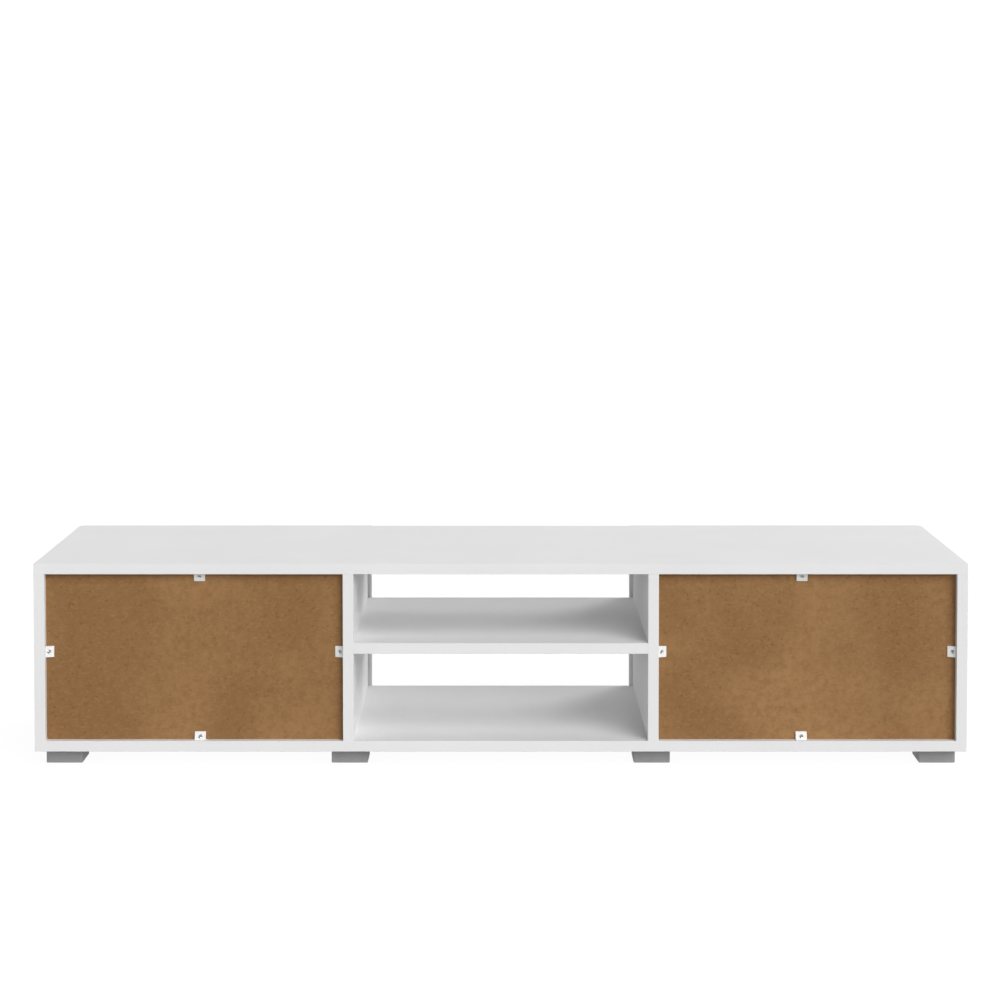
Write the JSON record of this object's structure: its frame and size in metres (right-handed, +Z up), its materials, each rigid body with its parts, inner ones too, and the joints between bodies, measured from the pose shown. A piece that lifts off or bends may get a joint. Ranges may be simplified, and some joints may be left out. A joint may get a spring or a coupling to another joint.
{
  "type": "tv stand with doors",
  "caption": "Low TV stand: two cupboards with hinged overlay doors either side of an open niche with a fixed shelf, on short block feet, with recessed hardboard backs.",
  "frame": {"origin": "on the floor, in the middle of the overall width and depth, below the feet", "axes": "+X to the right as a person faces the doors, +Y to the rear (the doors face -Y), +Z up"},
  "size_m": [1.4, 0.4, 0.309],
  "materials": {
    "white_melamine": "white melamine-faced chipboard, smooth satin, matching edge banding",
    "brown_hardboard": "bare brown hardboard, mottled fibres, matt",
    "grey_plastic": "moulded grey plastic, fine texture",
    "white_plastic": "moulded white plastic, semi-matt",
    "zinc_steel": "bright zinc-plated steel",
    "nickel_steel": "nickel-plated pressed steel",
    "cast_zinc": "die-cast zinc, dull",
    "beech": "plain fluted beech",
    "clear_rubber": "soft translucent elastomer"
  },
  "bodies": {
    "carcass": {"back_clip_screws": "zinc_steel", "base_screws": "zinc_steel", "bottom_board": "white_melamine", "cam_bolts": "zinc_steel", "cam_locks": "cast_zinc", "foot_screws": "zinc_steel", "front_left_foot": "grey_plastic", "front_middle_left_foot": "grey_plastic", "front_middle_right_foot": "grey_plastic", "front_right_foot": "grey_plastic", "left_back_clips": "white_plastic", "left_back_panel": "brown_hardboard", "left_divider": "white_melamine", "left_hinge_arm_screws": "zinc_steel", "left_hinge_arms": "nickel_steel", "left_hinge_plate_screws": "zinc_steel", "left_hinge_plates": "nickel_steel", "left_side_panel": "white_melamine", "niche_shelf": "white_melamine", "rear_left_foot": "grey_plastic", "rear_middle_left_foot": "grey_plastic", "rear_middle_right_foot": "grey_plastic", "rear_right_foot": "grey_plastic", "right_back_clips": "white_plastic", "right_back_panel": "brown_hardboard", "right_divider": "white_melamine", "right_hinge_arm_screws": "zinc_steel", "right_hinge_arms": "nickel_steel", "right_hinge_plate_screws": "zinc_steel", "right_hinge_plates": "nickel_steel", "right_side_panel": "white_melamine", "top_board": "white_melamine", "wooden_dowels": "beech"},
    "left_door": {"left_door": "white_melamine", "left_door_bumpers": "clear_rubber", "left_hinge_cups": "nickel_steel", "left_hinge_pins": "nickel_steel", "left_hinge_cup_screws": "zinc_steel"},
    "right_door": {"right_door": "white_melamine", "right_door_bumpers": "clear_rubber", "right_hinge_cups": "nickel_steel", "right_hinge_pins": "nickel_steel", "right_hinge_cup_screws": "zinc_steel"}
  },
  "joints": [
    {"name": "left_door_hinge", "type": "hinge", "parent": "carcass", "child": "left_door", "pos_m": [-0.6925, -0.192, 0.167], "axis": [0, 0, -1], "range_deg": [0, 95]},
    {"name": "right_door_hinge", "type": "hinge", "parent": "carcass", "child": "right_door", "pos_m": [0.6925, -0.192, 0.167], "axis": [0, 0, 1], "range_deg": [0, 95]}
  ]
}
